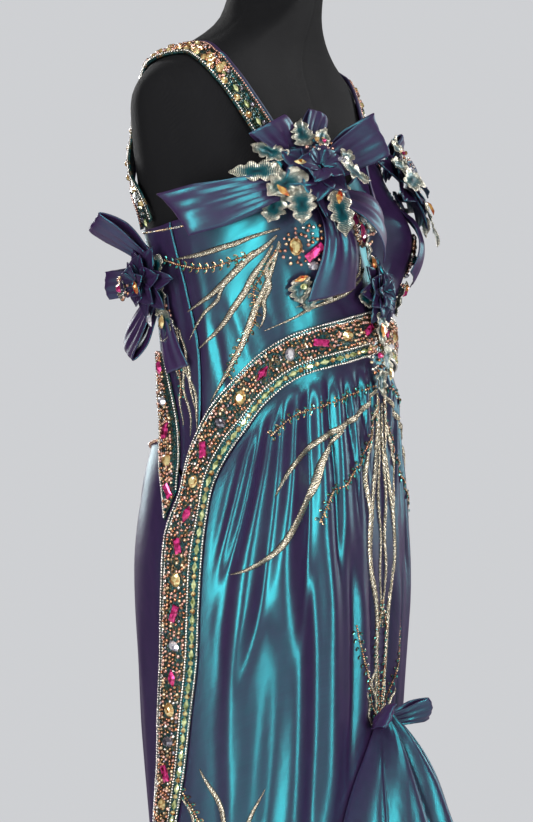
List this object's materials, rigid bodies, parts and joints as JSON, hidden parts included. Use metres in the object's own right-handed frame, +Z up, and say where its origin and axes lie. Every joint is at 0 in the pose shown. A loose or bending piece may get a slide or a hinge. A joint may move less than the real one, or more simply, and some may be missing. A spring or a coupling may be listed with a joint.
{
  "type": "mermaid prom dress on a limbless dress form",
  "caption": "Strapped mermaid prom dress with open back, beaded swooping waist bands, ribbon bows and a gathered floor-length flounce, worn by a limbless dress form on a round foot.",
  "frame": {"origin": "underside of the stand's round foot, under the middle of the form", "axes": "+Z up, the dress faces -Y, the wearer's right side is -X"},
  "size_m": [0.9316, 0.9316, 1.5724],
  "materials": {
    "taffeta": "shot taffeta, turquoise one way and purple the other, crisp with a soft gloss",
    "beadwork": "bands of seed beads and faceted stones on cloth, glossy",
    "gold_cord": "padded leaves of pale gold metallic thread",
    "form_cover": "black jersey cover, matt",
    "stand_paint": "black satin paint"
  },
  "bodies": {
    "root": {"back_band_left": "beadwork", "back_band_right": "beadwork", "back_bow_left_loop_lower": "taffeta", "back_bow_left_loop_side": "taffeta", "back_bow_left_loop_upper": "taffeta", "back_bow_left_tail": "taffeta", "back_bow_right_loop_lower": "taffeta", "back_bow_right_loop_side": "taffeta", "back_bow_right_loop_upper": "taffeta", "back_bow_right_tail": "taffeta", "back_rosette_left": "taffeta", "back_rosette_right": "taffeta", "bodice_front": "taffeta", "bodice_side_left": "taffeta", "bodice_side_right": "taffeta", "bodice_spray_left_1": "gold_cord", "bodice_spray_left_2": "gold_cord", "bodice_spray_left_3": "gold_cord", "bodice_spray_left_4": "gold_cord", "bodice_spray_right_1": "gold_cord", "bodice_spray_right_2": "gold_cord", "bodice_spray_right_3": "gold_cord", "bodice_spray_right_4": "gold_cord", "bust_bow_loop_inner": "taffeta", "bust_bow_loop_outer": "taffeta", "bust_bow_loop_top": "taffeta", "bust_bow_loop_upper": "taffeta", "bust_bow_tail_inner": "taffeta", "bust_bow_tail_lower": "taffeta", "bust_rosette_left": "taffeta", "bust_rosette_right": "taffeta", "far_bow_loop_outer": "taffeta", "far_bow_loop_upper": "taffeta", "far_bow_tail_lower": "taffeta", "flounce_back": "taffeta", "flounce_front": "taffeta", "form_base": "stand_paint", "form_neck_cap": "stand_paint", "form_pole": "stand_paint", "form_torso": "form_cover", "knee_bow_loop_left": "taffeta", "knee_bow_loop_right": "taffeta", "skirt_back_left": "taffeta", "skirt_back_right": "taffeta", "skirt_front": "taffeta", "skirt_spray_left_1": "gold_cord", "skirt_spray_left_2": "gold_cord", "skirt_spray_left_3": "gold_cord", "skirt_spray_right_1": "gold_cord", "skirt_spray_right_2": "gold_cord", "skirt_spray_right_3": "gold_cord", "strap_left": "beadwork", "strap_right": "beadwork", "waist_band_left": "beadwork", "waist_band_right": "beadwork", "waist_rosette": "taffeta"}
  },
  "joints": []
}
